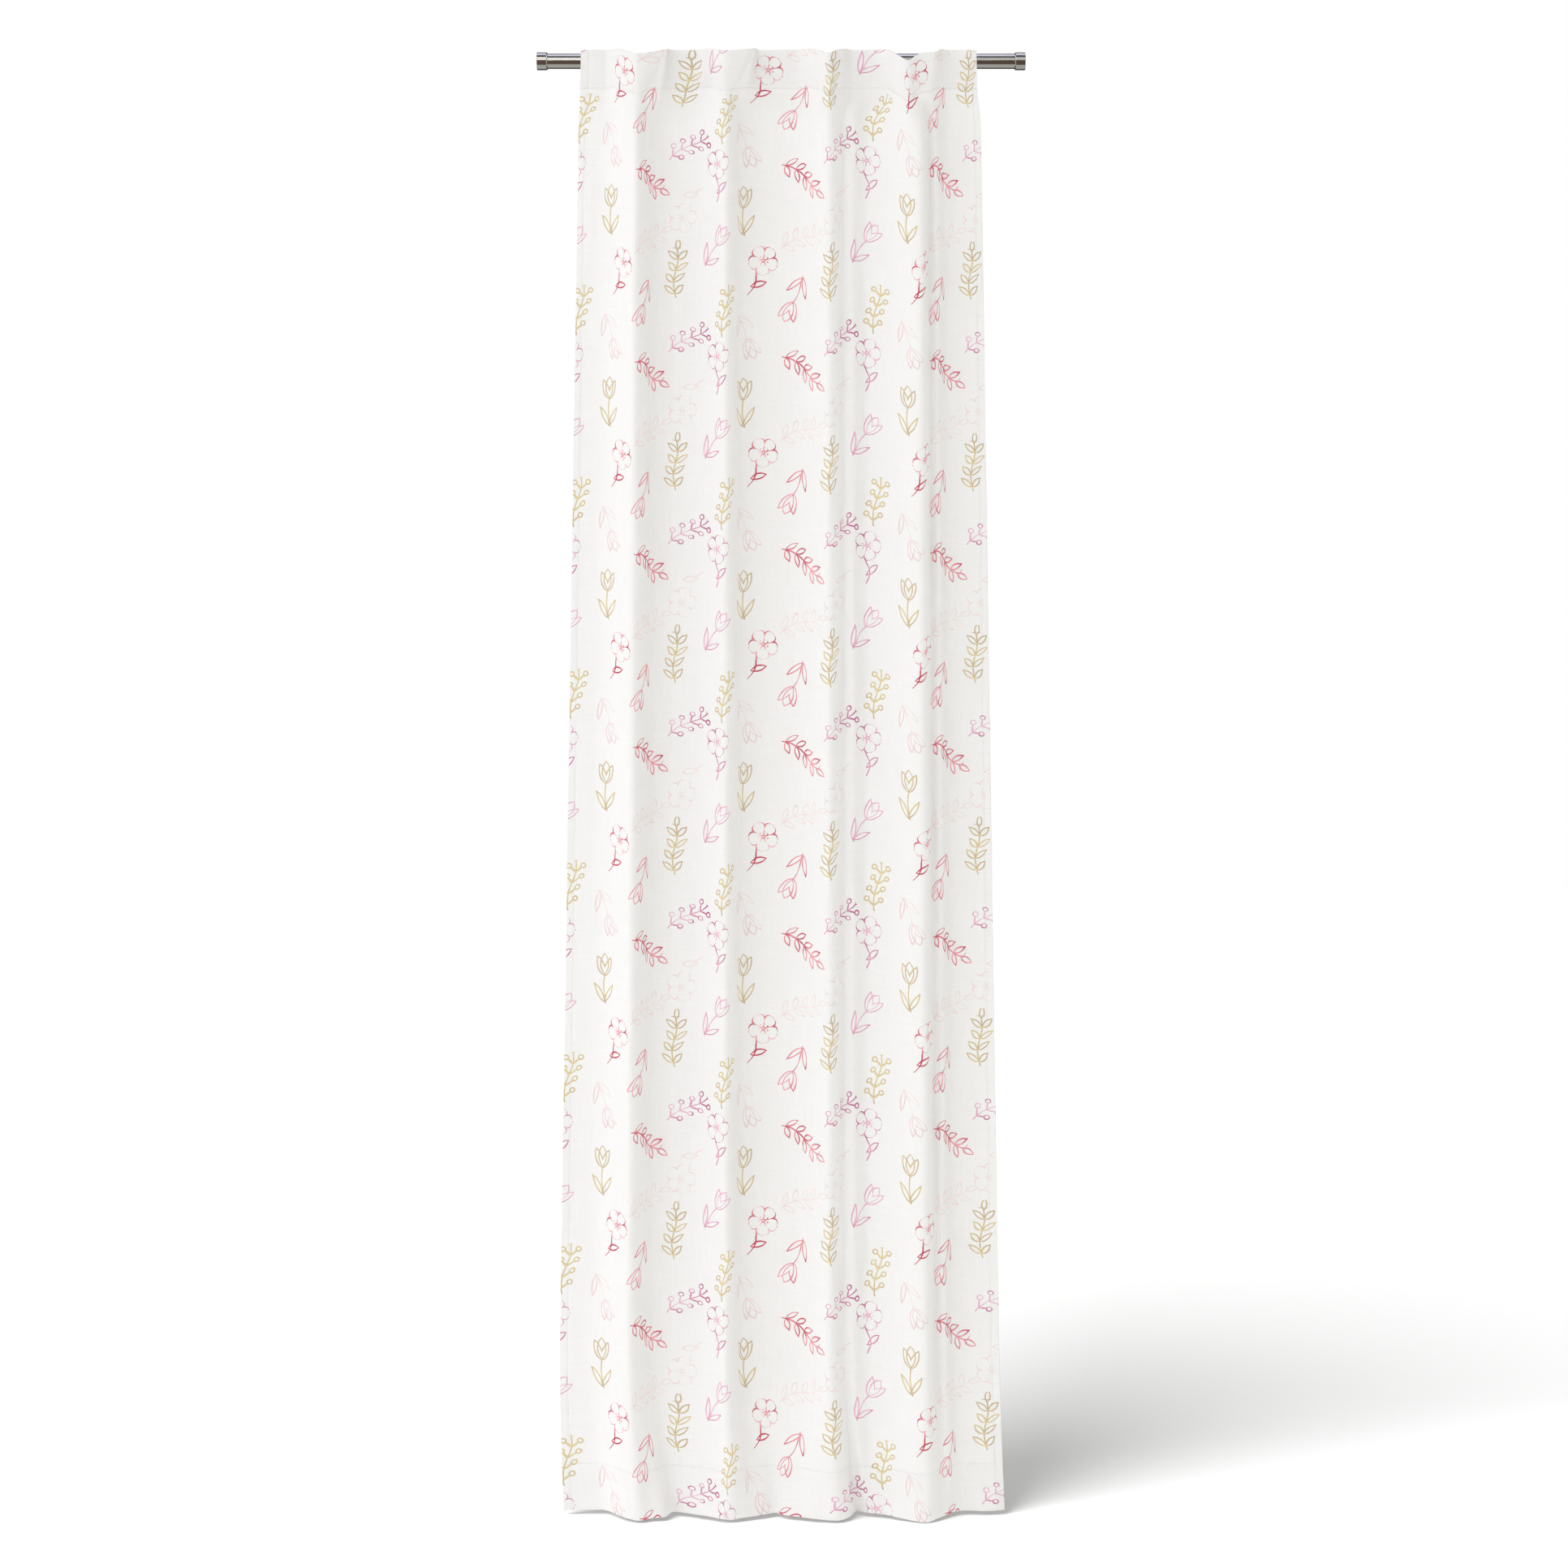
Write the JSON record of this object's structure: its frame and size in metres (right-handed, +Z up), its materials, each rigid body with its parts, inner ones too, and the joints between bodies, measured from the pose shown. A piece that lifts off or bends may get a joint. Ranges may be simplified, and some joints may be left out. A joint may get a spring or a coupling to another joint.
{
  "type": "blackout curtain",
  "caption": "Full-length cloth panel falling in soft vertical folds, hung by hidden back tabs from a round steel rod with end caps; blocks light at a window.",
  "frame": {"origin": "on the rod's axis, half way along the rod", "axes": "+X along the rod to the right as seen from the room, +Y from the room towards the window, +Z up; the cloth hangs down -Z with its printed face towards -Y"},
  "size_m": [0.8174, 0.0895, 2.4442],
  "materials": {
    "curtain_cloth": "matt woven polyester, white, printed in rose, orchid, gold and blush, with a plain white blackout lining behind",
    "tab_tape": "matt white woven tape",
    "rod_steel": "brushed",
    "cap_steel": "brushed"
  },
  "bodies": {
    "root": {"curtain_panel": "curtain_cloth", "back_tab_1": "tab_tape", "back_tab_2": "tab_tape", "back_tab_3": "tab_tape", "back_tab_4": "tab_tape", "back_tab_5": "tab_tape", "rod": "rod_steel", "end_cap_left": "cap_steel", "end_cap_right": "cap_steel"}
  },
  "joints": []
}
